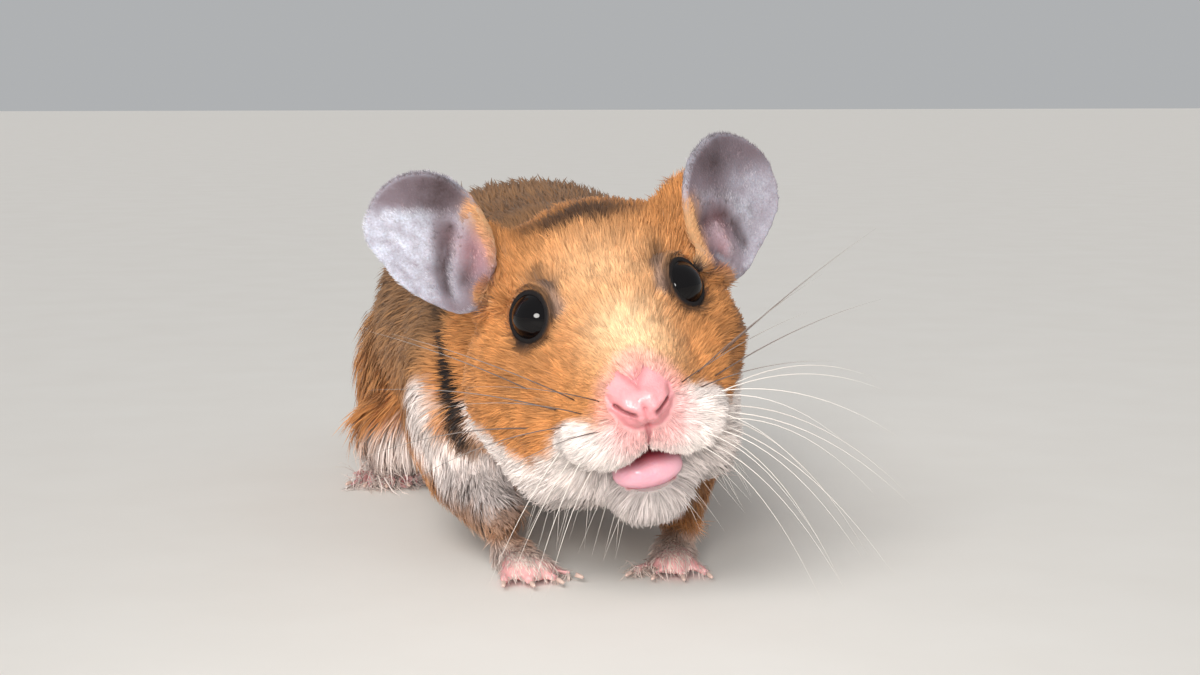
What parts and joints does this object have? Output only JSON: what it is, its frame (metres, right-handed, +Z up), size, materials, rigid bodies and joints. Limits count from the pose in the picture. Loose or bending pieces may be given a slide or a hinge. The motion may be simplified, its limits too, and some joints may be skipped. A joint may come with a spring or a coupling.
{
  "type": "syrian hamster",
  "caption": "Golden hamster standing low on all fours, head lifted and leaning to one side, mouth slightly open, ears up.",
  "frame": {"origin": "on the floor, under the middle of the whole hamster's box", "axes": "+Z up, the hamster faces -Y, its left side at +X"},
  "size_m": [0.0564, 0.1304, 0.0525],
  "materials": {
    "coat": "soft golden fur with white and black markings",
    "ear_skin": "thin grey skin with fine pale down",
    "pink_skin": "bare pink skin",
    "eye": "wet glossy black",
    "claw": "pale horn"
  },
  "bodies": {
    "root": {"head": "coat", "lower_jaw": "coat", "neck": "coat", "chest": "coat", "trunk": "coat", "rump": "coat", "upper_foreleg_left": "coat", "upper_foreleg_right": "coat", "lower_foreleg_left": "coat", "lower_foreleg_right": "coat", "thigh_left": "coat", "thigh_right": "coat", "shank_left": "coat", "shank_right": "coat", "ear_left": "ear_skin", "ear_right": "ear_skin", "nose": "pink_skin", "tongue": "pink_skin", "tail": "pink_skin", "forefoot_left": "pink_skin", "forefoot_right": "pink_skin", "hindfoot_left": "pink_skin", "hindfoot_right": "pink_skin", "eye_left": "eye", "eye_right": "eye", "claw_forefoot_left_1": "claw", "claw_forefoot_left_2": "claw", "claw_forefoot_left_3": "claw", "claw_forefoot_left_4": "claw", "claw_forefoot_right_1": "claw", "claw_forefoot_right_2": "claw", "claw_forefoot_right_3": "claw", "claw_forefoot_right_4": "claw", "claw_hindfoot_left_1": "claw", "claw_hindfoot_left_2": "claw", "claw_hindfoot_left_3": "claw", "claw_hindfoot_left_4": "claw", "claw_hindfoot_left_5": "claw", "claw_hindfoot_right_1": "claw", "claw_hindfoot_right_2": "claw", "claw_hindfoot_right_3": "claw", "claw_hindfoot_right_4": "claw", "claw_hindfoot_right_5": "claw"}
  },
  "joints": []
}
